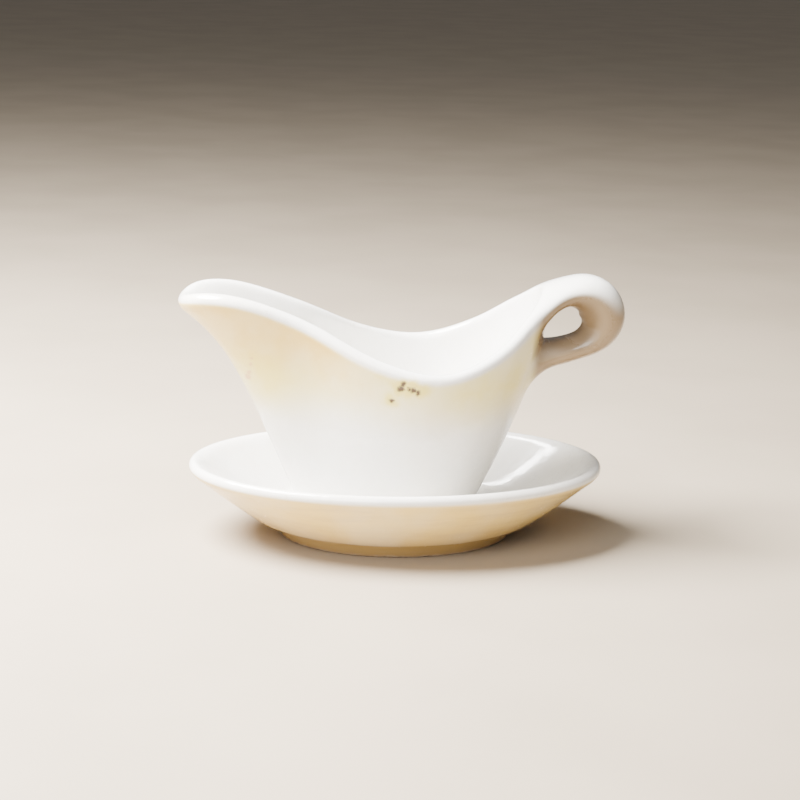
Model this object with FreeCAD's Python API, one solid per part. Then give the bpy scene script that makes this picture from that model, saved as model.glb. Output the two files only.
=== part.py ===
"""Sauce boat and its oval stand, in glazed vitrified china.

Five fired pieces: the stand's dish and foot ring, and the boat's bowl, foot ring and loop handle.
Units are millimetres.  The stand rests on z = 0, the spout points along -X and the handle along +X.
"""
import FreeCAD, Part
import math
import os

Vector = FreeCAD.Vector

# ---------------------------------------------------------------- the stand
STAND_LENGTH = 188.0         # over the rim
STAND_WIDTH = 127.0
STAND_HEIGHT = 34.8
STAND_CENTRE_X = -1.8
STAND_WALL = 5.2
STAND_RIM = 6.0              # thickness of the rolled rim
STAND_FLOOR = 5.0
STAND_CURVE = 1.15           # 1 is a straight cone, more is a cup
STAND_FOOT_LENGTH = 112.0    # where the foot ring meets the dish
STAND_FOOT_WIDTH = 86.0
STAND_FOOT_HEIGHT = 7.0
STAND_FOOT_TAPER = 4.0       # how far the ring's outside leans in, down to its edge
STAND_FOOT_BAND = 12.0       # ring's width where it meets the dish
STAND_FOOT_LAND = 3.0        # width of the flat that stands on the table
RECESS_DEPTH = 1.0           # of the locating recess for the boat's foot
RECESS_GAP = 1.0             # wider than the foot all round
RECESS_Z = STAND_FOOT_HEIGHT + STAND_FLOOR - RECESS_DEPTH

# ---------------------------------------------------------------- the boat
FOOT_CENTRE_X = -6.5
FOOT_LENGTH = 80.0
FOOT_WIDTH = 54.0
FOOT_BAND = 6.0
FOOT_LAND = 2.4
FOOT_HEIGHT = 4.5
FOOT_TAPER = 1.0
FOOT_EDGE = 0.7              # softened edge each side of a foot ring's land
WALL = 4.8                   # bowl's wall
RIM_THICK = 6.6              # rolled rim
LIP_THICK = 8.6              # and at the tip of the spout
RIM_ROLL = 5.0               # how late the wall thickens towards the rim
FLOOR = 5.5                  # bowl's floor

# rim of the bowl: angle round the bowl, x, half width, height above the table
RIM_STATIONS = (
    (0, 64.5, 0.0, 113.0),       # root of the handle
    (28, 56.5, 19.0, 105.8),
    (58, 38.0, 36.0, 90.0),
    (90, 11.5, 44.0, 80.0),      # lowest point, over the belly
    (116, -17.0, 37.0, 85.5),
    (140, -46.0, 23.5, 99.5),    # neck of the spout
    (160, -75.5, 20.0, 109.6),
    (172, -92.2, 14.5, 108.8),
    (180, -97.8, 0.0, 105.2),    # tip of the spout
)
BACK_BELLY = 1.45            # 1 is a straight wall, more is a rounder belly
SIDE_BELLY = 0.3             # added to that at the sides
SPOUT_LEAN = 0.77            # share of the spout's overhang that grows evenly
SPOUT_FLARE = 6.0            # how late the rest of it turns outwards

# loop of the handle: x, z of the strap's centre, its thickness and its width
HANDLE_STATIONS = (
    (51.0, 101.0, 13.0, 44.0),
    (60.0, 107.0, 12.8, 38.0),
    (69.0, 111.3, 13.0, 33.0),
    (79.0, 112.8, 14.5, 29.5),
    (86.2, 109.8, 16.6, 27.5),
    (89.8, 103.8, 17.4, 26.0),
    (90.3, 97.4, 15.8, 25.0),
    (87.8, 92.0, 13.0, 24.0),
    (83.2, 88.7, 11.0, 23.0),
    (76.5, 86.4, 10.2, 22.0),
    (69.5, 84.4, 10.8, 22.5),
    (62.0, 81.8, 12.0, 24.0),
    (54.0, 78.6, 13.0, 26.0),
)
HANDLE_SECTIONS = 36
HANDLE_SQUARENESS = 0.9      # 1 is an ellipse, less is boxier

RING_POINTS = 48             # control points round each ring
LEVELS = (0.0, 0.06, 0.16, 0.3, 0.44, 0.58, 0.71, 0.82, 0.9, 0.96, 1.0)
ROLL_ANGLES = (20, 55, 90, 125, 160)
FLOOR_SHARES = (0.5, 0.65, 0.8, 0.93)    # rings of the flat floor, as shares of its outline
ABOVE_ALL = 135.0            # a height clear of every piece


# ---------------------------------------------------------------- skins
def uniform_knots(poles, degree):
    """Knots and multiplicities of a clamped spline."""
    spans = poles - degree
    return [float(k) for k in range(spans + 1)], [degree + 1] + [1] * (spans - 1) + [degree + 1]


def skin(rings):
    """A smooth face shaped by closed rings of control points, clamped to the first and the last."""
    count = len(rings[0])
    degree = min(3, len(rings) - 1)
    knots, multiplicities = uniform_knots(len(rings), degree)
    surface = Part.BSplineSurface()
    surface.buildFromPolesMultsKnots(
        [list(column) for column in zip(*rings)],
        [1] * (count + 1), multiplicities,
        [float(k) for k in range(count + 1)], knots, True, False, 3, degree)
    return surface.toShape()


def end_wires(face):
    """The closed edges at a skin's two ends."""
    return [Part.Wire([edge]) for edge in face.Edges if edge.isClosed()]


def solid_of(faces):
    shell = Part.makeShell(faces)
    shell.sewShape()
    solid = Part.Solid(shell)
    if solid.Volume < 0:
        solid.reverse()
    return solid


def flat_ended(rings):
    """The solid inside a skin whose first and last rings are flat."""
    face = skin(rings)
    return solid_of([face] + [Part.Face(wire) for wire in end_wires(face)])


def angles(count=RING_POINTS):
    return [2 * math.pi * i / count for i in range(count)]


def oval(centre_x, half_length, half_width, z):
    return [Vector(centre_x + half_length * math.cos(a), half_width * math.sin(a), z)
            for a in angles()]


def mix(a, b, share):
    return a + (b - a) * share


# ---------------------------------------------------------------- bowl of the boat
def rim_line():
    """The middle of the bowl's rim, a closed curve whose parameter is the angle round the bowl."""
    half = list(RIM_STATIONS)
    other = [(360 - a, x, -w, z) for a, x, w, z in reversed(half[1:-1])]
    stations = half + other
    line = Part.BSplineCurve()
    line.interpolate(
        Points=[Vector(x, w, z) for _, x, w, z in stations], PeriodicFlag=True,
        Parameters=[math.radians(s[0]) for s in stations] + [2 * math.pi])
    return line


def towards_spout(angle):
    """0 at the handle and 1 at the spout's tip."""
    return ((1 - math.cos(angle)) / 2) ** 2


def wall_middle(base_z):
    """Rings of points on the middle of the bowl's wall, from the foot to the rim."""
    line = rim_line()
    foot = oval(FOOT_CENTRE_X, (FOOT_LENGTH - WALL) / 2, (FOOT_WIDTH - WALL) / 2, base_z)
    rings = []
    for t in LEVELS:
        ring = []
        for a, low in zip(angles(), foot):
            rim = line.value(a)
            belly = 1 - (1 - t) ** (BACK_BELLY + SIDE_BELLY * math.sin(a) ** 2)
            flare = mix(t ** SPOUT_FLARE, t, SPOUT_LEAN)
            share = mix(belly, flare, towards_spout(a))
            ring.append(Vector(mix(low.x, rim.x, share), mix(low.y, rim.y, share), mix(base_z, rim.z, t)))
        rings.append(ring)
    return rings


def wall_directions(rings):
    """For each point of each ring, the unit vectors out of the wall and up it."""
    outs, ups = [], []
    last = len(rings) - 1
    for j, ring in enumerate(rings):
        below, above = rings[max(j - 1, 0)], rings[min(j + 1, last)]
        ups.append([(above[i] - below[i]).normalize() for i in range(len(ring))])
        outs.append([(ring[(i + 1) % len(ring)] - ring[i - 1]).cross(ups[j][i]).normalize()
                     for i in range(len(ring))])
    return outs, ups


def wall_halves(wall, rims):
    """Half the wall's thickness at every place, from the thickness at each column's rim."""
    return [[mix(wall, rim, t ** RIM_ROLL) / 2 for rim in rims] for t in LEVELS]


def vessel(middle, halves, base_z, floor_z, heart_x):
    """A hollow vessel, rolled over at the rim, from the rings in the middle of its wall."""
    outs, ups = wall_directions(middle)

    def side(sign):
        return [[p + o * (sign * h) for p, o, h in zip(*rows)] for rows in zip(middle, outs, halves)]

    outer, inner = side(1), side(-1)[2:]
    outer[0] = [Vector(p.x, p.y, base_z) for p in outer[0]]
    outer[1] = [Vector(p.x, p.y, max(p.z, base_z)) for p in outer[1]]
    roll = []
    for degrees in ROLL_ANGLES:
        c, s = math.cos(math.radians(degrees)), math.sin(math.radians(degrees))
        roll.append([p + (o * c + u * s) * h
                     for p, o, u, h in zip(middle[-1], outs[-1], ups[-1], halves[-1])])
    heart = Vector(heart_x, 0, 0)
    floor = [[Vector(mix(heart.x, p.x, share), mix(heart.y, p.y, share), floor_z) for p in inner[0]]
             for share in FLOOR_SHARES]
    return flat_ended(outer + roll + (floor + inner)[::-1])


def make_bowl(middle, base_z):
    rims = [mix(RIM_THICK, LIP_THICK, towards_spout(a) ** 2) for a in angles()]
    return vessel(middle, wall_halves(WALL, rims), base_z, base_z + FLOOR, FOOT_CENTRE_X)


# ---------------------------------------------------------------- dish of the stand
def make_dish():
    """The oval dish, with a shallow recess in its floor that locates the boat's foot."""
    middle = []
    for t in LEVELS:
        middle.append(oval(
            STAND_CENTRE_X,
            mix(STAND_FOOT_LENGTH / 2, (STAND_LENGTH - STAND_RIM) / 2, t),
            mix(STAND_FOOT_WIDTH / 2, (STAND_WIDTH - STAND_RIM) / 2, t),
            mix(STAND_FOOT_HEIGHT, STAND_HEIGHT - STAND_RIM / 2, t ** STAND_CURVE)))
    halves = wall_halves(STAND_WALL, [STAND_RIM] * RING_POINTS)
    floor_z = STAND_FOOT_HEIGHT + STAND_FLOOR
    dish = vessel(middle, halves, STAND_FOOT_HEIGHT, floor_z, STAND_CENTRE_X)
    edge = Part.Ellipse(Vector(FOOT_CENTRE_X, 0, RECESS_Z),
                        FOOT_LENGTH / 2 + RECESS_GAP, FOOT_WIDTH / 2 + RECESS_GAP)
    recess = Part.Face(Part.Wire([edge.toShape()])).extrude(Vector(0, 0, STAND_FLOOR))
    return dish.cut(recess)


# ---------------------------------------------------------------- foot rings
def foot_ring(centre_x, length, width, base_z, height, band, land, taper):
    """An oval ring, flat on top, that narrows to a flat land at base_z."""
    top_z = base_z + height

    def line(inset, rise):
        return oval(centre_x, length / 2 - inset, width / 2 - inset, base_z + rise)

    outer_land = taper + FOOT_EDGE
    inner_land = outer_land + land
    outside = skin([line(0, height), line(taper * 0.6, height * 0.7), line(taper, height * 0.3),
                    line(taper, FOOT_EDGE * 0.3), line(outer_land, 0)])
    inside = skin([line(inner_land, 0), line(inner_land + FOOT_EDGE, FOOT_EDGE * 0.3),
                   line(inner_land + FOOT_EDGE, height * 0.4), line(band, height)])
    wires = end_wires(outside) + end_wires(inside)
    flats = []
    for z in (top_z, base_z):
        level = [wire for wire in wires if abs(wire.BoundBox.ZMax - z) < 0.001]
        flats.append(Part.makeFace(level, "Part::FaceMakerBullseye"))
    return solid_of([outside, inside] + flats)


# ---------------------------------------------------------------- loop handle
def handle_line():
    """The middle of the strap, with its thickness and width, sampled from root to root."""
    count = len(HANDLE_STATIONS)
    centre = Part.BSplineCurve()
    centre.interpolate([Vector(x, 0, z) for x, z, _, _ in HANDLE_STATIONS])
    sizes = Part.BSplineCurve()
    sizes.interpolate(
        Points=[Vector(thick, width, 0) for _, _, thick, width in HANDLE_STATIONS],
        Parameters=[i / (count - 1) for i in range(count)])
    knots = centre.getKnots()
    rows = []
    for i in range(HANDLE_SECTIONS):
        share = i / (HANDLE_SECTIONS - 1)
        place = share * (count - 1)
        low = min(int(place), count - 2)
        u = mix(knots[low], knots[low + 1], place - low)
        size = sizes.value(share)
        rows.append((centre.value(u), centre.tangent(u)[0], size.x, size.y))
    return rows


def rounded(value):
    """A sine or cosine, pushed outwards so that an oval section turns boxier."""
    return math.copysign(abs(value) ** HANDLE_SQUARENESS, value)


def make_handle_strap():
    rings = []
    for centre, along, thick, width in handle_line():
        across = Vector(0, 1, 0)
        normal = along.cross(across)
        rings.append([centre + normal * (thick / 2 * rounded(math.cos(a)))
                      + across * (width / 2 * rounded(math.sin(a))) for a in angles(32)])
    return flat_ended(rings)


def core_of(middle):
    """The space within the middle of a vessel's wall, carried straight up clear of its rim."""
    brim = middle[-1]
    above = [[Vector(p.x, p.y, mix(p.z, ABOVE_ALL, share)) for p in brim] for share in (0.3, 0.7)]
    lid = [Vector(p.x, p.y, ABOVE_ALL) for p in brim]
    return flat_ended(middle + above + [lid])


def make_handle(bowl, middle):
    """The strap, cut to the bowl's outside at both of its roots."""
    outside = make_handle_strap().cut(core_of(middle)).cut(bowl)
    return max(outside.Solids, key=lambda solid: solid.Volume)


# ---------------------------------------------------------------- the five pieces
def make_pieces():
    bowl_z = RECESS_Z + FOOT_HEIGHT
    middle = wall_middle(bowl_z)
    bowl = make_bowl(middle, bowl_z)
    return {
        "stand_dish": make_dish(),
        "stand_foot_ring": foot_ring(
            STAND_CENTRE_X, STAND_FOOT_LENGTH, STAND_FOOT_WIDTH, 0, STAND_FOOT_HEIGHT,
            STAND_FOOT_BAND, STAND_FOOT_LAND, STAND_FOOT_TAPER),
        "boat_bowl": bowl,
        "boat_foot_ring": foot_ring(
            FOOT_CENTRE_X, FOOT_LENGTH, FOOT_WIDTH, RECESS_Z, FOOT_HEIGHT,
            FOOT_BAND, FOOT_LAND, FOOT_TAPER),
        "boat_handle": make_handle(bowl, middle),
    }


def export(pieces):
    """Write each piece, with the whole set's length centred on the origin."""
    whole = Part.makeCompound(list(pieces.values())).optimalBoundingBox(False)
    middle = (whole.XMin + whole.XMax) / 2
    os.makedirs("parts", exist_ok=True)
    for name, shape in pieces.items():
        placed = shape.translated(Vector(-middle, 0, 0))
        placed.exportStep(f"parts/{name}.step")
        box = placed.optimalBoundingBox(False)
        print(f"{name}: {placed.Volume:.0f} mm3, valid {placed.isValid()}, solids {len(placed.Solids)}, "
              f"x {box.XMin:.2f} {box.XMax:.2f}, y {box.YMin:.2f} {box.YMax:.2f}, "
              f"z {box.ZMin:.2f} {box.ZMax:.2f}")
    print(f"moved {-middle:.3f} mm along x")


export(make_pieces())
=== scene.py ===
import math
import bmesh
import bpy
from mathutils import Matrix, Quaternion, Vector


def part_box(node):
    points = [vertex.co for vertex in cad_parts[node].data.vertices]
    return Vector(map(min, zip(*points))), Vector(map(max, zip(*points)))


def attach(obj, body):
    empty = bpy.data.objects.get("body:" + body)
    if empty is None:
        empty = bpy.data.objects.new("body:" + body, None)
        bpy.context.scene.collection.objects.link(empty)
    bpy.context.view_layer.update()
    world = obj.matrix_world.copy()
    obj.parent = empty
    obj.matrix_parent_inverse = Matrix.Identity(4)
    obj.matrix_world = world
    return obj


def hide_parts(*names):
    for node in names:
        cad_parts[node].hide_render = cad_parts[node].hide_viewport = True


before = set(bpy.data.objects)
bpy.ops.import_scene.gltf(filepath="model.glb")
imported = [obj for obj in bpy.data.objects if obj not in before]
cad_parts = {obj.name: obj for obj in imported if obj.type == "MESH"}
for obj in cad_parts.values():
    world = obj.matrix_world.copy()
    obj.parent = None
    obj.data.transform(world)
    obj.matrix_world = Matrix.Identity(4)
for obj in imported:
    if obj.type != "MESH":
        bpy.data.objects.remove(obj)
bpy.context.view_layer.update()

MM = 0.001

# ---------------------------------------------------------------- camera
# A long lens a little above the rim, turned slightly towards the pouring lip, and very slightly off level.
foot_low, foot_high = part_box("boat_foot_ring")
foot_middle = Vector(((foot_low.x + foot_high.x) / 2, 0, foot_high.z))
AIM = Vector((foot_middle.x + 5.6 * MM, 0, 61.6 * MM))
CAMERA_TURN = math.radians(-6.6)
CAMERA_RISE = math.radians(13.95)
CAMERA_ROLL = math.radians(1.56)
CAMERA_DISTANCE = 0.9
LENS_LENGTH = 90.1           # in mm, as is the width of the sensor behind it
SENSOR_WIDTH = 36.0

lens = bpy.data.cameras.new("camera")
lens.lens = LENS_LENGTH
lens.sensor_width = SENSOR_WIDTH
camera = bpy.data.objects.new("camera", lens)
backward = Vector((math.sin(CAMERA_TURN) * math.cos(CAMERA_RISE),
                   -math.cos(CAMERA_TURN) * math.cos(CAMERA_RISE), math.sin(CAMERA_RISE)))
camera.location = AIM + backward * CAMERA_DISTANCE
camera.rotation_mode = "QUATERNION"
camera.rotation_quaternion = ((-backward).to_track_quat("-Z", "Y")
                              @ Quaternion((0, 0, 1), CAMERA_ROLL))
bpy.context.scene.collection.objects.link(camera)
bpy.context.scene.camera = camera

# ---------------------------------------------------------------- boat's body, with its handle
# One glazed skin of vitrified china.  The body is slip-cast, and its rolled rim dips at the sides and runs
# out into a long pouring lip.  The loop handle is luted on behind, and its roots are sponged smooth.
AROUND = 48                  # columns round the body
WALL = 4.8 * MM
RIM_THICK = 6.6 * MM
LIP_THICK = 8.6 * MM         # rim at the tip of the pouring lip
RIM_ROLL = 5.0               # how late the wall thickens towards the rim
FLOOR = 5.5 * MM
# turn round the body in degrees, then x from the foot's middle, half width and height over the foot, in mm
RIM = ((0, 71.0, 0.0, 97.5), (28, 63.0, 19.0, 89.6), (58, 44.5, 36.0, 74.0), (90, 18.0, 44.0, 64.5),
       (116, -10.5, 37.0, 70.0), (140, -39.5, 23.5, 84.0), (160, -69.0, 20.0, 94.1),
       (172, -85.7, 14.5, 93.3), (180, -91.3, 0.0, 89.7))
BACK_BELLY = 1.45            # 1 is a straight wall, more is a rounder belly
SIDE_BELLY = 0.3             # added to that at the sides
LIP_LEAN = 0.77              # share of the lip's overhang that grows evenly up the wall
LIP_FLARE = 6                # how late the rest of it turns outwards
# levels of the rings, as shares of the way up the wall: at the lower root, outside, and inside from the rim
LOWER_ROOT = (0.64, 0.66, 0.68, 0.70, 0.723, 0.747, 0.77)
OUTSIDE = (0.0, 0.05, 0.13, 0.23, 0.34, 0.46, 0.57) + LOWER_ROOT + (0.82, 0.885, 0.945, 0.972, 1.0)
INSIDE = (1.0, 0.95, 0.88, 0.8, 0.7, 0.58, 0.45, 0.32, 0.2, 0.12)
ROLL = (45, 90, 135)         # turns over the rolled rim, in degrees
ROLL_SWELL = 1.05            # a rolled rim's cage is this much larger than its smooth skin
CAGE_SWELL = 1.003           # and a whole ring's
FLOOR_SHARES = (0.93, 0.8, 0.65, 0.5)    # rings in the floor, as shares of the way out from its middle
# middle of the strap: x from the foot's middle, height over the foot, thickness and width, in mm
STRAP = ((75.6, 96.6, 10.8, 31.0), (80.0, 96.6, 13.0, 29.0), (85.1, 96.4, 15.8, 28.0),
         (89.9, 95.1, 18.8, 27.4), (93.9, 91.8, 20.9, 26.8), (96.2, 87.2, 21.3, 26.0),
         (96.3, 82.2, 20.0, 25.2), (94.5, 77.8, 16.9, 24.4), (91.3, 74.4, 13.8, 23.6),
         (87.2, 72.1, 11.8, 22.8), (82.7, 70.6, 11.5, 22.4), (77.9, 69.3, 11.9, 22.6),
         (73.6, 68.4, 12.5, 23.4), (69.9, 68.0, 13.2, 24.4))
STRAP_COLUMNS = 24
STRAP_BOXINESS = 0.95        # 1 is an oval section, less is boxier
UPPER_ROOT_ROWS = 4          # rows of faces that the upper root takes, down from the rim's crest
UPPER_ROOT_HALF = 4          # and columns, each side of the middle
LOWER_ROOT_HALF = 3          # columns that the lower root takes, each side of the middle
BETWEEN_ROOTS = (0.82, 0.885)    # levels of the wall between the two roots
PRESSED = 1.3 * MM           # how far the wall is pressed in there
PRESSED_HALF = 3             # columns each side of the middle
SPONGED = 4                  # passes of the sponge over the roots
SPONGED_FROM = 92.5 * MM     # height over the foot from which the upper root is sponged
SPONGED_BESIDE = 8.0 * MM    # distance from the middle beyond which both roots are sponged


def mix(a, b, share):
    return a + (b - a) * share


def rim_at(turn):
    """The middle of the rim at a turn in degrees, on a smooth curve through the RIM stations."""
    side = 1 if turn <= 180 else -1
    turn = min(turn, 360 - turn)
    before = (-RIM[1][0], RIM[1][1], -RIM[1][2], RIM[1][3])
    after = (360 - RIM[-2][0], RIM[-2][1], -RIM[-2][2], RIM[-2][3])
    stations = (before,) + RIM + (after,)
    k = next(i for i in range(1, len(RIM) + 1) if turn <= stations[i + 1][0])
    turns = [station[0] for station in stations[k - 1:k + 3]]
    spots = [Vector(station[1:]) for station in stations[k - 1:k + 3]]
    gap = turns[2] - turns[1]
    leaving = (spots[2] - spots[0]) / (turns[2] - turns[0]) * gap
    arriving = (spots[3] - spots[1]) / (turns[3] - turns[1]) * gap
    u = (turn - turns[1]) / gap
    spot = (spots[1] * (2 * u ** 3 - 3 * u ** 2 + 1) + leaving * (u ** 3 - 2 * u ** 2 + u)
            + spots[2] * (3 * u ** 2 - 2 * u ** 3) + arriving * (u ** 3 - u ** 2))
    return Vector((spot.x, spot.y * side, spot.z)) * MM


def oval(centre, half_length, half_width, columns=AROUND):
    turns = [2 * math.pi * i / columns for i in range(columns)]
    return [centre + Vector((half_length * math.cos(a), half_width * math.sin(a), 0)) for a in turns]


def towards_lip(turn):
    """0 at the handle and 1 at the tip of the pouring lip."""
    return ((1 - math.cos(turn)) / 2) ** 2


def body_middle(levels, foot_middle, half_length, half_width):
    """Rings in the middle of the body's wall, swelling at the back and flaring out under the lip."""
    rings = []
    for t in levels:
        ring = []
        for i, low in enumerate(oval(foot_middle, half_length, half_width)):
            turn = 2 * math.pi * i / AROUND
            rim = foot_middle + rim_at(math.degrees(turn))
            belly = 1 - (1 - t) ** (BACK_BELLY + SIDE_BELLY * math.sin(turn) ** 2)
            flare = mix(t ** LIP_FLARE, t, LIP_LEAN)
            share = mix(belly, flare, towards_lip(turn))
            ring.append(Vector((mix(low.x, rim.x, share), mix(low.y, rim.y, share), mix(low.z, rim.z, t))))
        rings.append(ring)
    return rings


def wall_directions(rings):
    """For each place in each ring, the unit vectors out of the wall and up it."""
    outs, ups = [], []
    for j, ring in enumerate(rings):
        below, above = rings[max(j - 1, 0)], rings[min(j + 1, len(rings) - 1)]
        ups.append([(above[i] - below[i]).normalized() for i in range(len(ring))])
        outs.append([(ring[(i + 1) % len(ring)] - ring[i - 1]).cross(ups[j][i]).normalized()
                     for i in range(len(ring))])
    return outs, ups


def wall_side(rings, levels, wall, rims, sign):
    """The rings moved to the wall's outside (sign 1) or inside (sign -1), for each column's rim."""
    outs, _ = wall_directions(rings)
    return [[place + out * sign * mix(wall, rim, t ** RIM_ROLL) / 2
             for place, out, rim in zip(ring, row, rims)] for ring, row, t in zip(rings, outs, levels)]


def rolled_rim(rings, rims):
    """Rings over the rolled edge, from just past its outside to just before its inside."""
    outs, ups = wall_directions(rings)
    rolled = []
    for degrees in ROLL:
        a = math.radians(degrees)
        rolled.append([place + (out * math.cos(a) + up * math.sin(a)) * rim / 2 * ROLL_SWELL
                       for place, out, up, rim in zip(rings[-1], outs[-1], ups[-1], rims)])
    return rolled


def flat_rings(outline, heart, z, shares):
    """Rings at height z between an outline (share 1) and a heart (share 0)."""
    return [[Vector((mix(q.x, p.x, share), mix(q.y, p.y, share), z)) for p, q in zip(outline, heart)]
            for share in shares]


def boundary(geometry):
    return [part for part in geometry if isinstance(part, bmesh.types.BMEdge) and part.is_boundary]


def raise_rings(mesh, rows, marks):
    """Extrude a circle through each row of places, noting every point's column, row, side and rise."""
    column = mesh.verts.layers.int.get("column") or mesh.verts.layers.int.new("column")
    level = mesh.verts.layers.int.get("level") or mesh.verts.layers.int.new("level")
    inner = mesh.verts.layers.float.get("inner") or mesh.verts.layers.float.new("inner")
    rise = mesh.verts.layers.float.get("rise") or mesh.verts.layers.float.new("rise")
    ring = bmesh.ops.create_circle(mesh, segments=len(rows[0]), radius=1)["verts"]
    for i, point in enumerate(ring):
        point[column] = i
        point.co = rows[0][i]
        point[inner], point[rise] = marks[0]
    first = list({edge for point in ring for edge in point.link_edges})
    edges = first
    for j in range(1, len(rows)):
        made = bmesh.ops.extrude_edge_only(mesh, edges=edges)["geom"]
        for point in (part for part in made if isinstance(part, bmesh.types.BMVert)):
            point.co = rows[j][point[column]]
            point[level] = j
            point[inner], point[rise] = marks[j]
        edges = boundary(made)
    return first, edges


def close_flat(mesh, ring):
    """Fill a ring with a square grid of faces, so that no pole is left in the middle."""
    column = mesh.verts.layers.int.get("column")
    count = len(ring)
    arcs = []
    for edge in ring:
        places = sorted(point[column] for point in edge.verts)
        start = places[1] if places[1] - places[0] > 1 else places[0]
        if (start - count // 8) % (count // 2) < count // 4:
            arcs.append(edge)
    bmesh.ops.grid_fill(mesh, edges=arcs, use_smooth=True)


def open_patch(mesh, rows, half_columns):
    """Cut a patch out of the wall behind the body, and return the edges round the hole."""
    column = mesh.verts.layers.int.get("column")
    level = mesh.verts.layers.int.get("level")

    def inside(point):
        away = min(point[column], AROUND - point[column])
        return rows[0] <= point[level] <= rows[1] and away <= half_columns

    patch = [face for face in mesh.faces if all(inside(point) for point in face.verts)]
    chosen = set(patch)
    edge_ring = [edge for face in patch for edge in face.edges
                 if sum(other in chosen for other in edge.link_faces) == 1]
    bmesh.ops.delete(mesh, geom=patch, context="FACES")
    return edge_ring


def boxy(value):
    """A sine or cosine, swelled so that the section it draws is boxier than an oval."""
    return math.copysign(abs(value) ** STRAP_BOXINESS, value)


def strap_rows(foot_middle):
    """Oval sections across the strap, square to its middle line."""
    middles = [foot_middle + Vector((x, 0, z)) * MM for x, z, _, _ in STRAP]
    rows = []
    for k, (_, _, thick, wide) in enumerate(STRAP):
        along = (middles[min(k + 1, len(STRAP) - 1)] - middles[max(k - 1, 0)]).normalized()
        normal = along.cross(Vector((0, 1, 0)))
        row = []
        for i in range(STRAP_COLUMNS):
            a = 2 * math.pi * i / STRAP_COLUMNS
            row.append(middles[k] + Vector((0, 1, 0)) * (boxy(math.cos(a)) * wide * MM / 2)
                       + normal * (boxy(math.sin(a)) * thick * MM / 2))
        rows.append(row)
    return rows


def finish_piece(mesh, name, subdivisions=2):
    """Turn the built mesh into an object with outward normals and a smooth subdivided skin."""
    bmesh.ops.recalc_face_normals(mesh, faces=mesh.faces)
    data = bpy.data.meshes.new(name)
    mesh.to_mesh(data)
    mesh.free()
    data.shade_smooth()
    piece = bpy.data.objects.new(name, data)
    bpy.context.scene.collection.objects.link(piece)
    smooth = piece.modifiers.new("smooth", "SUBSURF")
    smooth.levels = subdivisions
    smooth.render_levels = subdivisions
    return piece


foot_half_length = (foot_high.x - foot_low.x) / 2 * CAGE_SWELL
foot_half_width = (foot_high.y - foot_low.y) / 2 * CAGE_SWELL


def side_and_rise(outside, inside, flats):
    """For each row: 0 outside to 1 inside, and the share of the way up from the foot to the rim."""
    return ([(0.0, t) for t in outside] + [(degrees / 180, 1.0) for degrees in ROLL]
            + [(1.0, t) for t in inside] + [(1.0, 0.0)] * flats)


def body_rows():
    """Every ring of the body's skin, from its base up the outside, over the rim and down to its floor."""
    half_length, half_width = foot_half_length - WALL / 2, foot_half_width - WALL / 2
    outside = body_middle(OUTSIDE, foot_middle, half_length, half_width)
    inside = body_middle(INSIDE[::-1], foot_middle, half_length, half_width)
    rims = [mix(RIM_THICK, LIP_THICK, towards_lip(2 * math.pi * i / AROUND) ** 2) for i in range(AROUND)]
    outer = wall_side(outside, OUTSIDE, WALL, rims, 1)
    outer[0] = [Vector((p.x, p.y, foot_middle.z)) for p in outer[0]]
    for t in BETWEEN_ROOTS:
        for i in range(-PRESSED_HALF, PRESSED_HALF + 1):
            outer[OUTSIDE.index(t)][i].x -= PRESSED
    inner = wall_side(inside, INSIDE[::-1], WALL, rims, -1)[::-1]
    floor = flat_rings(inner[-1], [foot_middle] * AROUND, foot_middle.z + FLOOR, FLOOR_SHARES)
    rolled = rolled_rim(outside, rims)
    rows = outer + rolled + inner + floor
    return rows, side_and_rise(OUTSIDE, INSIDE, len(floor))


def add_node(tree, kind, values=None, **settings):
    """One shader node, with its settings, and with its inputs given numbers or joined to other nodes."""
    node = tree.nodes.new("ShaderNode" + kind)
    for name, setting in settings.items():
        setattr(node, name, setting)
    for key, value in (values or {}).items():
        if isinstance(value, bpy.types.NodeSocket):
            tree.links.new(value, node.inputs[key])
        else:
            node.inputs[key].default_value = value
    return node


def calculate(tree, operation, first, second=0.0):
    return add_node(tree, "Math", {0: first, 1: second}, operation=operation).outputs[0]


def times(tree, share, *others):
    """Shares multiplied together."""
    for other in others:
        share = calculate(tree, "MULTIPLY", share, other)
    return share


def between(tree, value, low, high, bottom=0.0, top=1.0):
    """A soft step: bottom where the value is under low, top where it is over high."""
    return add_node(tree, "MapRange", {"Value": value, "From Min": low, "From Max": high, "To Min": bottom,
                                       "To Max": top}, interpolation_type="SMOOTHSTEP").outputs["Result"]


def noise(tree, place, per_metre, detail=2.0, roughness=0.5, stretch=(1, 1, 1)):
    """Cloudy noise from 0 to 1, with so many blotches to the metre, along each axis in turn."""
    spread = add_node(tree, "Mapping", {"Vector": place, "Scale": stretch}).outputs["Vector"]
    return add_node(tree, "TexNoise", {"Vector": spread, "Scale": per_metre, "Detail": detail,
                                       "Roughness": roughness}).outputs[0]


def blotches(tree, place, per_metre, start, full, least=0.0, most=1.0, **grain):
    """Soft blotches: least where the noise is under start, most where it is over full."""
    return between(tree, noise(tree, place, per_metre, **grain), start, full, least, most)


def tinted(tree, share, colour, stain):
    """A colour, turned to a stain's colour by a share."""
    stain = (*stain, 1.0) if isinstance(stain, tuple) else stain
    return add_node(tree, "Mix", {0: share, 6: colour, 7: stain}, data_type="RGBA").outputs[2]


def new_finish(name):
    """A node material, its Principled shader and its object coordinates."""
    finish = bpy.data.materials.new(name)
    finish.use_nodes = True
    surface = finish.node_tree.nodes["Principled BSDF"]
    place = add_node(finish.node_tree, "TexCoord").outputs["Object"]
    return finish, surface, place


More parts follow.
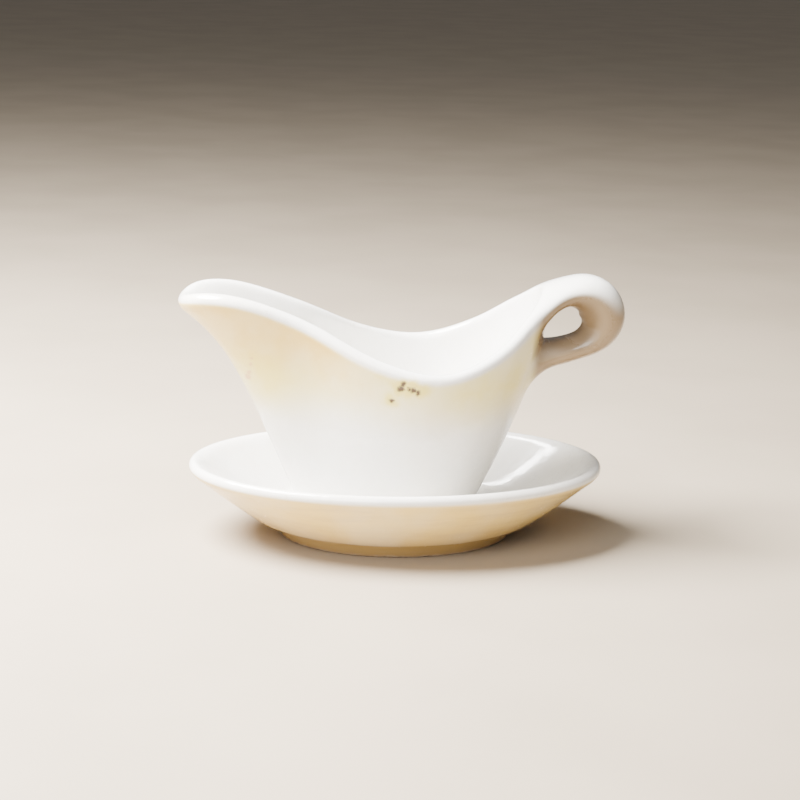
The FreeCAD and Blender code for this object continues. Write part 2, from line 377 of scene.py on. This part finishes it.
GLAZE_WHITE = (0.86, 0.845, 0.81)
GLAZE_CREAM = (0.85, 0.80, 0.70)
GLAZE_WORN = (0.70, 0.67, 0.60)
IRON_SPECK = (0.33, 0.22, 0.13)
CRAZE_LINE = (0.50, 0.44, 0.36)
GLAZE_IOR = 1.52
COAT_WEIGHT = 0.35
COAT_ROUGHNESS = 0.06
WAVE_DEPTH = 1.2 * MM                # of the slight waves left in a dipped glaze
PEEL_DEPTH = 0.12 * MM               # and of its orange peel


def facing_down(tree, start, full):
    """0 where the upright part of a surface's normal is over start, 1 where it is under full."""
    normal = add_node(tree, "NewGeometry").outputs["Normal"]
    upright = add_node(tree, "SeparateXYZ", {0: normal}).outputs["Z"]
    return between(tree, upright, full, start, 1.0, 0.0)


def hairlines(tree, place):
    """Fine craze lines and cutlery marks, in a few patches only."""
    contour = calculate(tree, "SUBTRACT", noise(tree, place, 110, detail=3, roughness=0.6), 0.5)
    lines = between(tree, calculate(tree, "ABSOLUTE", contour), 0.001, 0.004, 0.35, 0.0)
    return times(tree, lines, blotches(tree, place, 24, 0.5, 0.62))


def glaze_colour(tree, place):
    """Warm white, clouded with cream, with fine grey wear and a few iron specks from the clay."""
    clouds = blotches(tree, place, 22, 0.4, 0.75, most=0.5, detail=3)
    colour = tinted(tree, clouds, (*GLAZE_WHITE, 1.0), GLAZE_CREAM)
    wear = blotches(tree, place, 260, 0.35, 0.75, most=0.16, detail=4, roughness=0.6)
    colour = tinted(tree, wear, colour, GLAZE_WORN)
    cells = add_node(tree, "TexVoronoi", {"Vector": place, "Scale": 90.0})
    dots = between(tree, cells.outputs["Distance"], 0.02, 0.045, 0.6, 0.0)
    specks = times(tree, dots, blotches(tree, place, 40, 0.6, 0.64, detail=1))
    colour = tinted(tree, specks, colour, IRON_SPECK)
    return tinted(tree, hairlines(tree, place), colour, CRAZE_LINE)


def glaze_surface(tree, surface, place, colour):
    """The glassy coat: a slight orange peel, finely scuffed where hands and cutlery rub it."""
    scuffs = blotches(tree, place, 900, 0.45, 0.8, least=0.15, most=0.3, roughness=0.6, stretch=(1, 0.15, 1))
    tree.links.new(scuffs, surface.inputs["Roughness"])
    surface.inputs["IOR"].default_value = GLAZE_IOR
    surface.inputs["Coat Weight"].default_value = COAT_WEIGHT
    surface.inputs["Coat Roughness"].default_value = COAT_ROUGHNESS
    tree.links.new(colour, surface.inputs["Base Color"])
    wave = add_node(tree, "Bump", {"Height": noise(tree, place, 75), "Strength": 0.35,
                                   "Distance": WAVE_DEPTH})
    peel = add_node(tree, "Bump", {"Height": noise(tree, place, 700), "Strength": 0.25,
                                   "Distance": PEEL_DEPTH, "Normal": wave.outputs["Normal"]})
    tree.links.new(peel.outputs["Normal"], surface.inputs["Normal"])
    tree.links.new(peel.outputs["Normal"], surface.inputs["Coat Normal"])
    return peel


def spot(tree, place, centre, radius, soft):
    """1 within a radius of a place on the ware, fading to 0 over a soft edge."""
    away = add_node(tree, "VectorMath", {0: place, 1: centre}, operation="DISTANCE").outputs["Value"]
    return between(tree, away, radius - soft, radius + soft, 1.0, 0.0)


def ragged(tree, place, per_metre, amount):
    """The place, pushed about a little so that a spot drawn on it has an uneven edge."""
    cloud = add_node(tree, "TexNoise", {"Vector": place, "Scale": per_metre, "Detail": 2.0}).outputs["Color"]
    push = add_node(tree, "VectorMath", {0: cloud, 1: (0.5, 0.5, 0.5)}, operation="SUBTRACT").outputs[0]
    push = add_node(tree, "VectorMath", {0: push, "Scale": amount}, operation="SCALE").outputs[0]
    return add_node(tree, "VectorMath", {0: place, 1: push}, operation="ADD").outputs["Vector"]


def on_outside(tree):
    """1 on the outside of a vessel, up to where its rim rolls over, and 0 inside."""
    side = add_node(tree, "Attribute", attribute_name="inner").outputs["Fac"]
    return between(tree, side, 0.3, 0.5, 1.0, 0.0)


def on_boat(x, z):
    """A place on the boat's middle plane: mm from the foot's middle, and mm over the foot."""
    return tuple(foot_middle + Vector((x, 0, z)) * MM)


# painted shade under the flare of the pouring lip, cream where its outside faces down: how steeply the wall
# leans out where the cream starts and where it is full, and its heights over the table
FLARE_SHADE_CREAM = (0.84, 0.71, 0.11)
FLARE_LEAN = (0.1, -0.32)
FLARE_HEIGHTS = (52 * MM, 76 * MM)
# painted tan shade in the cream: shares of the way up the wall, and where along the boat it is full and ends
FLARE_SHADE_TAN = (0.70, 0.44, 0.11)
TAN_RISE = (0.6, 0.93)
TAN_ALONG = (-35 * MM, -5 * MM)


def lip_painted_shade(tree, place, parts, outside, colour):
    """Painted shade on the outside under the pouring lip's flare: cream, with tan deepest just below the rim.
    """
    rise = add_node(tree, "Attribute", attribute_name="rise").outputs["Fac"]
    high = between(tree, parts["Z"], *FLARE_HEIGHTS)
    patchy = blotches(tree, place, 38, 0.3, 0.7, least=0.6, detail=3)
    # painted shade where the outside under the lip faces down
    flare = times(tree, facing_down(tree, *FLARE_LEAN), outside, high, patchy)
    colour = tinted(tree, flare, colour, FLARE_SHADE_CREAM)
    forward = between(tree, parts["X"], *TAN_ALONG, 0.85, 0.0)
    return tinted(tree, times(tree, flare, between(tree, rise, *TAN_RISE), forward), colour, FLARE_SHADE_TAN)


# each painted shade on the handle: its colour, its middle, and its radius and softness
ROOT_SHADE_CREAM = (0.66, 0.60, 0.26)
ROOT_MIDDLE = on_boat(64.0, 73.0)
ROOT_SPOT = (19 * MM, 12 * MM)
LOOP_SHADE_TAN = (0.31, 0.22, 0.125)
LOOP_MIDDLE = on_boat(81.0, 82.5)    # of the finger hole
LOOP_SPOT = (14 * MM, 2 * MM)
LOOP_SHADE_BROWN = (0.17, 0.11, 0.05)
HOLE_SPOT = (12.5 * MM, 3 * MM)
BEND_MIDDLE = on_boat(87.0, 84.5)    # of the inside of the loop's outer bend
BEND_SPOT = (9 * MM, 5 * MM)
TAN_HEIGHTS = (98 * MM, 108 * MM)    # over the table: the strap has painted tan shade below these, and is white above
STRAP_STARTS = (54 * MM, 60 * MM)    # along the boat
DRY_DULLNESS = 0.5


def handle_painted_shade(tree, place, parts, outside, colour):
    """Painted shade on the handle: cream round the roots, tan on the strap, brown in the loop.  The second
    result is 1 inside the loop's outer bend, where the glaze pulled thin and dry and the painted shade is a
    little deeper."""
    root_shade = times(tree, spot(tree, place, ROOT_MIDDLE, *ROOT_SPOT), outside, facing_down(tree, 0.5, -0.1), 0.7)
    colour = tinted(tree, root_shade, colour, ROOT_SHADE_CREAM)
    seen_square = add_node(tree, "CombineXYZ", {"X": parts["X"], "Z": parts["Z"]}).outputs[0]
    low = between(tree, parts["Z"], *TAN_HEIGHTS, 1.0, 0.0)
    low = calculate(tree, "MAXIMUM", low, spot(tree, seen_square, LOOP_MIDDLE, *LOOP_SPOT))
    strap_shade = calculate(tree, "MAXIMUM", facing_down(tree, 0.5, -0.05), times(tree, low, 0.85))
    strap_shade = times(tree, strap_shade, between(tree, parts["X"], *STRAP_STARTS), outside)
    colour = tinted(tree, strap_shade, colour, LOOP_SHADE_TAN)
    brown_shade = times(tree, spot(tree, seen_square, LOOP_MIDDLE, *HOLE_SPOT), outside, 0.6)
    colour = tinted(tree, brown_shade, colour, LOOP_SHADE_BROWN)
    dry = times(tree, spot(tree, seen_square, BEND_MIDDLE, *BEND_SPOT), outside)
    # a little deeper painted shade, brown, inside the loop's outer bend
    return tinted(tree, times(tree, dry, 0.4), colour, LOOP_SHADE_BROWN), dry


# stained chips in the near rim where it is lowest, their yellow halos, and a nick rubbed in the edge of the
# near side under the pouring lip: x from the foot's middle, height over the foot and radius, in mm
CHIPS = ((1.7, 64.0, 1.15), (0.9, 62.0, 1.35), (4.4, 61.9, 0.85), (6.2, 61.4, 1.15), (8.2, 60.5, 1.1),
         (-2.6, 55.8, 0.95))
HALOS = ((1.4, 62.4, 4.2), (5.2, 62.0, 4.6), (9.2, 61.4, 3.6), (-2.6, 56.2, 3.0))
NICKS = ((-63.0, 59.4, 1.3), (-62.7, 61.6, 1.0), (-62.2, 66.0, 0.7), (-61.8, 69.0, 0.6))
CHIP_BROWN = (0.06, 0.03, 0.01)
HALO_YELLOW = (0.78, 0.66, 0.14)
NICK_RED = (0.62, 0.30, 0.16)
CHIP_DEPTH = 0.4 * MM
RIM_SIDE = -30 * MM                  # across the boat, chips and halos are nearer than this
LIP_SIDE = -4 * MM                   # and nicks are nearer than this


def near_side_spots(tree, place, spots, soft, near_y):
    """A list of round spots on the near side, seen square on, joined into one share from 0 to 1."""
    parts = add_node(tree, "SeparateXYZ", {0: place}).outputs
    seen_square = add_node(tree, "CombineXYZ", {"X": parts["X"], "Z": parts["Z"]}).outputs[0]
    total = 0.0
    for x, z, radius in spots:
        one = spot(tree, seen_square, on_boat(x, z), radius * MM, soft)
        total = calculate(tree, "MAXIMUM", one, total)
    return times(tree, total, between(tree, parts["Y"], near_y - 5 * MM, near_y, 1.0, 0.0))


def stains(tree, place, outside, colour):
    """Halos, nicks and chips, in that order.  The second result is 1 in the chips."""
    cloudy = ragged(tree, place, 150, 7 * MM)
    uneven = ragged(tree, place, 600, 2.2 * MM)
    for spots, stain, share, edge, soft, near_y in (
            (HALOS, HALO_YELLOW, 0.9, cloudy, 2.2 * MM, RIM_SIDE),
            (NICKS, NICK_RED, 0.6, uneven, 0.7 * MM, LIP_SIDE),
            (CHIPS, CHIP_BROWN, 1.0, uneven, 0.7 * MM, RIM_SIDE)):
        marks = times(tree, near_side_spots(tree, edge, spots, soft, near_y), outside)
        colour = tinted(tree, times(tree, marks, share), colour, stain)
    return colour, marks


def boat_glaze():
    """The boat's glaze with its painted shade and stains, dull in the loop and dented in the chips."""
    finish, surface, place = new_finish("boat_glaze")
    tree = finish.node_tree
    parts = add_node(tree, "SeparateXYZ", {0: place}).outputs
    outside = on_outside(tree)
    colour = lip_painted_shade(tree, place, parts, outside, glaze_colour(tree, place))
    colour, dry = handle_painted_shade(tree, place, parts, outside, colour)
    colour, chips = stains(tree, place, outside, colour)
    peel = glaze_surface(tree, surface, place, colour)
    gloss = surface.inputs["Roughness"].links[0].from_socket
    dull = calculate(tree, "ADD", gloss, times(tree, dry, DRY_DULLNESS))
    tree.links.new(dull, surface.inputs["Roughness"])
    tree.links.new(between(tree, dry, 0.0, 1.0, COAT_WEIGHT, 0.0), surface.inputs["Coat Weight"])
    dent = add_node(tree, "Bump", {"Height": chips, "Strength": 0.8, "Distance": CHIP_DEPTH,
                                   "Normal": peel.outputs["Normal"]}, invert=True)
    tree.links.new(dent.outputs["Normal"], surface.inputs["Normal"])
    return finish


body = bmesh.new()
rows, marks = body_rows()
base_ring, floor_ring = raise_rings(body, rows, marks)
close_flat(body, base_ring)
close_flat(body, floor_ring)
crest = len(OUTSIDE) + 1
upper_root = open_patch(body, (crest - UPPER_ROOT_ROWS, crest), UPPER_ROOT_HALF)
lower_rows = (OUTSIDE.index(LOWER_ROOT[0]), OUTSIDE.index(LOWER_ROOT[-1]))
lower_root = open_patch(body, lower_rows, LOWER_ROOT_HALF)
strap = strap_rows(foot_middle)
strap_start, strap_end = raise_rings(body, strap, [(0.0, 0.0)] * len(strap))
bmesh.ops.bridge_loops(body, edges=upper_root + strap_start)
bmesh.ops.bridge_loops(body, edges=lower_root + strap_end)
for joint, low in ((upper_root + strap_start, SPONGED_FROM), (lower_root + strap_end, math.inf)):
    joined = {point for edge in joint for point in edge.verts}
    joined |= {edge.other_vert(point) for point in joined for edge in point.link_edges}
    rubbed = [point for point in joined
              if point.co.z > foot_middle.z + low or abs(point.co.y) > SPONGED_BESIDE]
    for _ in range(SPONGED):
        bmesh.ops.smooth_vert(body, verts=rubbed, factor=0.5,
                              use_axis_x=True, use_axis_y=True, use_axis_z=True)
boat_body = finish_piece(body, "boat_body")
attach(boat_body, "boat")
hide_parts("boat_bowl", "boat_handle")
boat_body.data.materials.append(boat_glaze())

# ---------------------------------------------------------------- boat's foot ring
# The low oval ring that the boat stands on, turned into the same clay and glazed on its sides.  Its land was
# wiped clean before firing, so bare buff clay shows there, browned and worn by the stand.
# section of the ring: mm out from its top edge, and mm down from the underside of the body
BOAT_FOOT = ((-0.4, -1.0), (0.4, 0.1), (-0.5, 1.1), (-0.9, 2.4), (-1.0, 3.6), (-1.3, 4.3), (-1.9, 4.5),
             (-2.9, 4.5), (-3.9, 4.5), (-4.5, 4.2), (-4.8, 3.2), (-5.2, 1.6), (-6.2, 0.2), (-6.6, -1.0))


def make_foot(name, section, top, half_length, half_width):
    """A closed oval ring of the given section, hung from the middle of its top."""
    mesh = bmesh.new()
    rows = [oval(top - Vector((0, 0, down * MM)), half_length + out * MM, half_width + out * MM)
            for out, down in section]
    first, last = raise_rings(mesh, rows, [(0.0, 0.0)] * len(rows))
    bmesh.ops.bridge_loops(mesh, edges=first + last)
    return finish_piece(mesh, name)


UNDERSIDE_SHADE_TAN = (0.80, 0.59, 0.18)             # painted shade on the ware's underside, where it faces down
LOW_SHADE_BROWN = (0.35, 0.22, 0.09)           # and deeper painted shade lowest down
STREAK_BROWN = (0.46, 0.30, 0.15)
EDGE_BROWN = (0.47, 0.30, 0.16)      # where the glaze ends over the clay
BARE_CLAY = (0.60, 0.47, 0.32)
DARK_CLAY = (0.40, 0.28, 0.17)
GRIME = (0.16, 0.11, 0.07)
CLAY_ROUGHNESS = 0.8
FOOT_GLAZE_ROUGHNESS = 0.22
WIPE_SOFTNESS = 0.25 * MM
EDGE_HEIGHTS = (0.3 * MM, 1.2 * MM)  # of the brown edge, over the line where the glaze was wiped off
BOAT_WIPE = 0.7 * MM                 # height of that line over the foot's land
# share of the underside's painted shade on the boat foot's downward faces
BOAT_SHADE_SHARE = 0.3


def underside_painted_shade(tree, place, wipe_z, tan_z):
    """Painted shade over the underside: tan, streaked from the wheel, turning brown below tan_z."""
    height = add_node(tree, "SeparateXYZ", {0: place}).outputs["Z"]
    brown_shade = between(tree, height, wipe_z - tan_z / 4, tan_z, 1.0, 0.0)
    shade = tinted(tree, brown_shade, (*UNDERSIDE_SHADE_TAN, 1.0), LOW_SHADE_BROWN)
    streaks = blotches(tree, place, 60, 0.42, 0.72, most=0.3, detail=4, roughness=0.65,
                       stretch=(0.35, 0.35, 4.0))
    return tinted(tree, streaks, shade, STREAK_BROWN)


def foot_clay(name, wipe_z, tan_z, shade_share):
    """Glaze down the ring's sides, with painted shade where they face down, ending in an uneven line over
    bare, rubbed clay.
    """
    finish, surface, place = new_finish(name)
    tree = finish.node_tree
    under_shade = times(tree, facing_down(tree, 0.6, 0.1), shade_share)
    glazed = tinted(tree, under_shade, glaze_colour(tree, place), underside_painted_shade(tree, place, wipe_z, tan_z))
    height = add_node(tree, "SeparateXYZ", {0: ragged(tree, place, 120, 1.6 * MM)}).outputs["Z"]
    edge = between(tree, height, wipe_z + EDGE_HEIGHTS[0], wipe_z + EDGE_HEIGHTS[1], 0.7, 0.0)
    glazed = tinted(tree, edge, glazed, EDGE_BROWN)
    grain = blotches(tree, place, 1500, 0.3, 0.7, detail=3, roughness=0.7)
    clay = tinted(tree, grain, (*BARE_CLAY, 1.0), DARK_CLAY)
    grime = blotches(tree, place, 130, 0.45, 0.7, most=0.8, detail=3, roughness=0.6)
    clay = tinted(tree, grime, clay, GRIME)
    bare = between(tree, height, wipe_z - WIPE_SOFTNESS, wipe_z + WIPE_SOFTNESS, 1.0, 0.0)
    tree.links.new(tinted(tree, bare, glazed, clay), surface.inputs["Base Color"])
    dull = between(tree, bare, 0.2, 0.8, FOOT_GLAZE_ROUGHNESS, CLAY_ROUGHNESS)
    tree.links.new(dull, surface.inputs["Roughness"])
    rough = add_node(tree, "Bump", {"Height": times(tree, grain, bare), "Strength": 0.6,
                                    "Distance": 0.2 * MM})
    tree.links.new(rough.outputs["Normal"], surface.inputs["Normal"])
    return finish


boat_foot = make_foot("boat_foot", BOAT_FOOT, foot_middle, foot_half_length, foot_half_width)
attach(boat_foot, "boat")
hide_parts("boat_foot_ring")
boat_foot.data.materials.append(foot_clay("boat_foot_clay", foot_low.z + BOAT_WIPE, foot_high.z,
                                          BOAT_SHADE_SHARE))

# ---------------------------------------------------------------- stand's dish
# The oval stand that catches drips, pressed from the same vitrified china and dipped in the same glaze.  Its
# rim is rolled like the boat's, and a shallow step in its floor keeps the boat's foot in its place.
DISH_WALL = 5.2 * MM
DISH_RIM = 6.0 * MM
DISH_FLOOR = 5.0 * MM
DISH_CURVE = 1.15            # 1 is a straight cone, more is a cup
DISH_OUTSIDE = (0.0, 0.06, 0.16, 0.3, 0.44, 0.58, 0.71, 0.82, 0.9, 0.96, 1.0)
DISH_INSIDE = (0.96, 0.9, 0.82, 0.71, 0.58, 0.44, 0.3, 0.16)
RECESS_GAP = 1.0 * MM        # between the boat's foot and the step
RECESS_DEPTH = 1.0 * MM
DISH_FLAT = (0.9, 0.7, 0.45, 0.22)   # shares of the way out from the step to the wall
# section of the step: mm out from its edge, and share of its drop
RECESS_STEP = ((1.4, 0), (0.4, 0), (-0.4, 1), (-1.4, 1), (-5.0, 1))
TAN_TOP = 23 * MM            # the underside's painted shade is tan above this height, and browner below it
STAND_WIPE = 0.8 * MM        # height of the line where the glaze ends on the foot ring

ring_low, ring_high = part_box("stand_foot_ring")
dish_low, dish_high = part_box("stand_dish")
ring_middle = Vector(((ring_low.x + ring_high.x) / 2, 0, ring_high.z))
ring_half_length = (ring_high.x - ring_low.x) / 2 * CAGE_SWELL
ring_half_width = (ring_high.y - ring_low.y) / 2 * CAGE_SWELL


def dish_middle(levels):
    """Rings in the middle of the dish's wall, from over the foot ring out to the rim."""
    rim_half_length = (dish_high.x - dish_low.x) / 2 * CAGE_SWELL - DISH_RIM / 2
    rim_half_width = (dish_high.y - dish_low.y) / 2 * CAGE_SWELL - DISH_RIM / 2
    rise = dish_high.z - DISH_RIM / 2 - ring_middle.z
    return [oval(ring_middle + Vector((0, 0, rise * t ** DISH_CURVE)),
                 mix(ring_half_length, rim_half_length, t), mix(ring_half_width, rim_half_width, t))
            for t in levels]


def recess_oval(out, z):
    """The outline of the step round the boat's foot, moved out and set at height z."""
    return oval(Vector((foot_middle.x, 0, z)), foot_half_length + RECESS_GAP + out,
                foot_half_width + RECESS_GAP + out)


def dish_rows():
    """Every ring of the dish's skin, from its base up the outside, over the rim and down to the recess."""
    rims = [DISH_RIM] * AROUND
    outside = dish_middle(DISH_OUTSIDE)
    outer = wall_side(outside, DISH_OUTSIDE, DISH_WALL, rims, 1)
    outer[:2] = [[Vector((p.x, p.y, max(p.z, ring_middle.z) if j else ring_middle.z)) for p in ring]
                 for j, ring in enumerate(outer[:2])]
    inner = wall_side(dish_middle(DISH_INSIDE[::-1]), DISH_INSIDE[::-1], DISH_WALL, rims, -1)[::-1]
    floor_z = ring_middle.z + DISH_FLOOR
    flat = flat_rings(inner[-1], recess_oval(0, floor_z), floor_z, DISH_FLAT)
    step = [recess_oval(out * MM, floor_z - RECESS_DEPTH * drop) for out, drop in RECESS_STEP]
    rows = outer + rolled_rim(outside, rims) + inner + flat + step
    return rows, side_and_rise(DISH_OUTSIDE, DISH_INSIDE, len(flat) + len(step))


def dish_glaze():
    """White above; below, painted shade where the dish faces down: tan and streaky, browner down to the foot.
    """
    finish, surface, place = new_finish("dish_glaze")
    tree = finish.node_tree
    colour = glaze_colour(tree, place)
    shade = underside_painted_shade(tree, place, STAND_WIPE, TAN_TOP)
    patchy = blotches(tree, place, 35, 0.3, 0.7, least=0.8, detail=3)
    # painted shade where the dish faces down
    colour = tinted(tree, times(tree, facing_down(tree, -0.05, -0.45), patchy), colour, shade)
    glaze_surface(tree, surface, place, colour)
    return finish


dish = bmesh.new()
rows, marks = dish_rows()
base_ring, floor_ring = raise_rings(dish, rows, marks)
close_flat(dish, base_ring)
close_flat(dish, floor_ring)
stand_body = finish_piece(dish, "stand_body")
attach(stand_body, "stand")
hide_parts("stand_dish")
stand_body.data.materials.append(dish_glaze())

# ---------------------------------------------------------------- stand's foot ring
# The ring that carries the stand, a little inside its curve.  Its outside leans in to a narrow land, rubbed
# brown where it has slid about on tables.
# section of the ring: mm out from where it meets the dish, and mm down from there
STAND_FOOT = ((4.6, -2.2), (2.4, -0.4), (-0.4, 1.3), (-2.2, 3.4), (-3.3, 5.4), (-4.0, 6.6), (-4.8, 7.0),
              (-6.0, 7.0), (-7.2, 7.0), (-8.0, 6.6), (-8.6, 5.2), (-9.6, 3.0), (-11.6, 0.6), (-12.6, -1.2))

stand_foot = make_foot("stand_foot", STAND_FOOT, ring_middle, ring_half_length, ring_half_width)
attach(stand_foot, "stand")
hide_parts("stand_foot_ring")
# the stand's foot ring takes the underside's painted shade in full where it faces down
stand_foot.data.materials.append(foot_clay("stand_foot_clay", STAND_WIPE, TAN_TOP, 1.0))

# ---------------------------------------------------------------- floor and light
# A pale warm table top, wide enough to reach past the view, under a large soft lamp overhead on the left and
# a weaker one in front.
FLOOR_HALF = 30.0
TABLE_PALE = (0.36, 0.295, 0.22)
TABLE_DARK = (0.33, 0.27, 0.20)
TABLE_ROUGHNESS = 0.7
ROOM_WHITE = (1.0, 0.99, 0.97)
ROOM_STRENGTH = 0.22
# each lamp's place, the place it faces, its width, strength and colour
LAMPS = (("key", (-0.46, 0.04, 0.68), (-0.40, 0.04, 0.0), 0.6, 100.0, (1.0, 0.985, 0.965)),
         ("fill", (-0.5, -1.1, 0.8), (0.0, 0.0, 0.0), 1.0, 26.0, (1.0, 0.98, 0.95)))


def table_finish():
    """Matt, in wide soft patches of two close browns."""
    finish, surface, place = new_finish("table_finish")
    tree = finish.node_tree
    patches = blotches(tree, place, 9, 0.3, 0.7, detail=4)
    colour = tinted(tree, patches, (*TABLE_PALE, 1.0), TABLE_DARK)
    tree.links.new(colour, surface.inputs["Base Color"])
    surface.inputs["Roughness"].default_value = TABLE_ROUGHNESS
    return finish


table = bmesh.new()
bmesh.ops.create_grid(table, x_segments=1, y_segments=1, size=FLOOR_HALF)
table_data = bpy.data.meshes.new("floor")
table.to_mesh(table_data)
table.free()
floor = bpy.data.objects.new("floor", table_data)
floor.data.materials.append(table_finish())
bpy.context.scene.collection.objects.link(floor)

for name, lamp_place, facing, size, energy, colour in LAMPS:
    lamp = bpy.data.lights.new(name, "AREA")
    lamp.shape = "DISK"
    lamp.size = size
    lamp.energy = energy
    lamp.color = colour
    lamp_object = bpy.data.objects.new(name, lamp)
    lamp_object.location = lamp_place
    lamp_object.rotation_mode = "QUATERNION"
    lamp_object.rotation_quaternion = (Vector(facing) - lamp_object.location).to_track_quat("-Z", "Y")
    bpy.context.scene.collection.objects.link(lamp_object)
studio = bpy.data.worlds.new("studio")
studio.use_nodes = True
room = studio.node_tree.nodes["Background"]
room.inputs["Color"].default_value = (*ROOM_WHITE, 1.0)
room.inputs["Strength"].default_value = ROOM_STRENGTH
bpy.context.scene.world = studio
